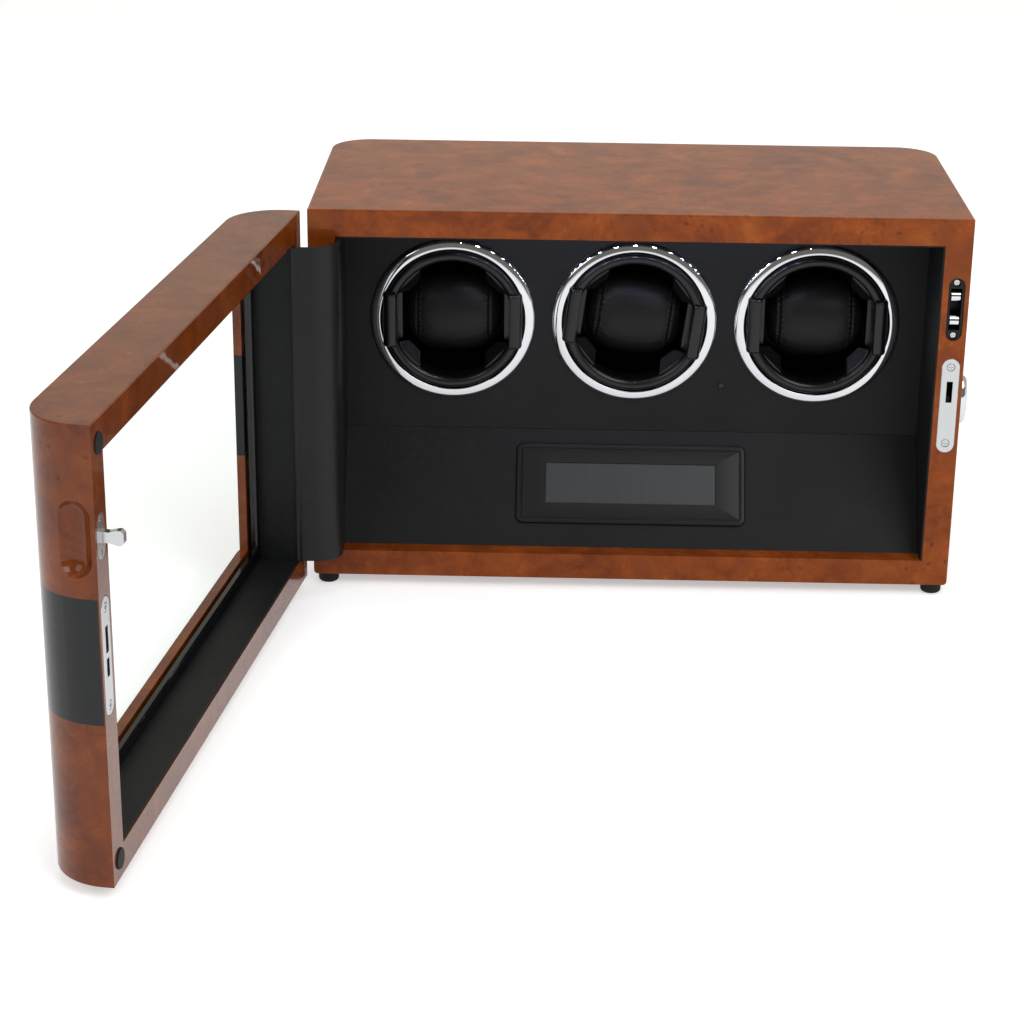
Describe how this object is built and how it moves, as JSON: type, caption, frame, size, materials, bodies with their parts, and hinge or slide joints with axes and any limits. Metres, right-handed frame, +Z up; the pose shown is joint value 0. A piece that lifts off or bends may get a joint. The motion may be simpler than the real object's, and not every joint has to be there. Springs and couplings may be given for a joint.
{
  "type": "watch winder",
  "caption": "Lacquered wooden table-top watch winder with a glazed side-hung door, slanted display console and motor-driven watch cups behind chrome rings.",
  "frame": {"origin": "middle of the case's underside, above the feet", "axes": "+X to the right seen from the front, +Y from the front to the back, +Z up"},
  "size_m": [0.477, 0.5724, 0.2342],
  "materials": {
    "burl_lacquer": "high-gloss lacquer over burl veneer",
    "leatherette": "fine grained matt leatherette",
    "chrome": "polished plating",
    "gloss_black": "polished",
    "matte_black": "fine satin",
    "dark_display": "unlit display window",
    "satin_steel": "satin plated steel",
    "zinc_steel": "zinc-plated sheet",
    "brass": "turned",
    "white_acetal": "moulded",
    "circuit_board": "solder mask",
    "clear_glass": "polished",
    "black_rubber": "moulded"
  },
  "bodies": {
    "case": {"case_top": "burl_lacquer", "case_bottom": "burl_lacquer", "case_left_side": "burl_lacquer", "case_right_side": "burl_lacquer", "case_back": "burl_lacquer", "rear_cover": "matte_black", "case_screws": "satin_steel", "power_inlet": "matte_black", "feet": "black_rubber", "case_lining": "leatherette", "faceplate": "leatherette", "console_panel": "leatherette", "display_bezel": "gloss_black", "display_screen": "dark_display", "control_board": "circuit_board", "remote_sensor": "gloss_black", "light_strip": "matte_black", "motor_plate": "zinc_steel", "axle_bushes": "brass", "catch_housing": "matte_black", "lock_plate": "satin_steel", "lock_case": "zinc_steel", "key_escutcheon": "chrome", "case_hinge_leaves": "satin_steel", "hinge_pins": "satin_steel", "ring_1": "chrome", "ring_2": "chrome", "ring_3": "chrome", "motor_1": "zinc_steel", "motor_2": "zinc_steel", "motor_3": "zinc_steel"},
    "door": {"door_frame": "burl_lacquer", "door_glass": "clear_glass", "glass_bead": "gloss_black", "door_lining": "leatherette", "catch_tongue": "matte_black", "door_lock_plate": "satin_steel", "door_screws": "satin_steel", "door_bumpers": "black_rubber", "door_hinge_leaves": "satin_steel", "hinge_cover": "leatherette"},
    "winding_cup_1": {"cup_1": "matte_black", "drive_gear_1": "white_acetal"},
    "motor_pinion_1": {"pinion_1": "brass"},
    "watch_holder_1": {"pillow_holder_1": "gloss_black", "pillow_1": "leatherette"},
    "winding_cup_2": {"cup_2": "matte_black", "drive_gear_2": "white_acetal"},
    "motor_pinion_2": {"pinion_2": "brass"},
    "watch_holder_2": {"pillow_holder_2": "gloss_black", "pillow_2": "leatherette"},
    "winding_cup_3": {"cup_3": "matte_black", "drive_gear_3": "white_acetal"},
    "motor_pinion_3": {"pinion_3": "brass"},
    "watch_holder_3": {"pillow_holder_3": "gloss_black", "pillow_3": "leatherette"},
    "upper_roller": {"catch_roller_upper": "satin_steel"},
    "lower_roller": {"catch_roller_lower": "satin_steel"},
    "lock_bolt": {"lock_claw": "satin_steel"},
    "key_plug": {"lock_plug": "brass"}
  },
  "joints": [
    {"name": "door_hinge", "type": "hinge", "parent": "case", "child": "door", "pos_m": [-0.1953, -0.0935, 0.114], "axis": [0, 0, -1], "range_deg": [-97.67, 12], "deforming": ["hinge_cover"]},
    {"name": "cup_1_spin", "type": "hinge", "parent": "case", "child": "winding_cup_1", "pos_m": [-0.1104, 0.016, 0.1475], "axis": [0, 1, 0], "continuous": true},
    {"name": "pinion_1_spin", "type": "hinge", "parent": "case", "child": "motor_pinion_1", "pos_m": [-0.1104, 0.0245, 0.11545], "axis": [0, 1, 0], "continuous": true},
    {"name": "holder_1_slide", "type": "slide", "parent": "winding_cup_1", "child": "watch_holder_1", "axis": [0, -1, 0], "range_m": [0, 0.07]},
    {"name": "cup_2_spin", "type": "hinge", "parent": "case", "child": "winding_cup_2", "pos_m": [0, 0.016, 0.1475], "axis": [0, 1, 0], "continuous": true},
    {"name": "pinion_2_spin", "type": "hinge", "parent": "case", "child": "motor_pinion_2", "pos_m": [0, 0.0245, 0.11545], "axis": [0, 1, 0], "continuous": true},
    {"name": "holder_2_slide", "type": "slide", "parent": "winding_cup_2", "child": "watch_holder_2", "axis": [0, -1, 0], "range_m": [0, 0.07]},
    {"name": "cup_3_spin", "type": "hinge", "parent": "case", "child": "winding_cup_3", "pos_m": [0.1104, 0.016, 0.1475], "axis": [0, 1, 0], "continuous": true},
    {"name": "pinion_3_spin", "type": "hinge", "parent": "case", "child": "motor_pinion_3", "pos_m": [0.1104, 0.0245, 0.11545], "axis": [0, 1, 0], "continuous": true},
    {"name": "holder_3_slide", "type": "slide", "parent": "winding_cup_3", "child": "watch_holder_3", "axis": [0, -1, 0], "range_m": [0, 0.07]},
    {"name": "upper_roller_slide", "type": "slide", "parent": "case", "child": "upper_roller", "axis": [0, 0, 1], "range_m": [0, 0.0012], "stiffness_N_per_m": 800},
    {"name": "lower_roller_slide", "type": "slide", "parent": "case", "child": "lower_roller", "axis": [0, 0, -1], "range_m": [0, 0.0012], "stiffness_N_per_m": 800},
    {"name": "key_turn", "type": "hinge", "parent": "case", "child": "key_plug", "pos_m": [0.1885, -0.078, 0.118], "axis": [-1, 0, 0], "range_deg": [0, 90]},
    {"name": "lock_bolt_turn", "type": "hinge", "parent": "case", "child": "lock_bolt", "pos_m": [0.1849, -0.086, 0.13], "axis": [-1, 0, 0], "range_deg": [0, 90]}
  ],
  "couplings": [
    {"joint": "pinion_1_spin", "follows": "cup_1_spin", "ratio": -3},
    {"joint": "pinion_2_spin", "follows": "cup_2_spin", "ratio": -3},
    {"joint": "pinion_3_spin", "follows": "cup_3_spin", "ratio": -3},
    {"joint": "lock_bolt_turn", "follows": "key_turn", "ratio": 0.9778}
  ]
}
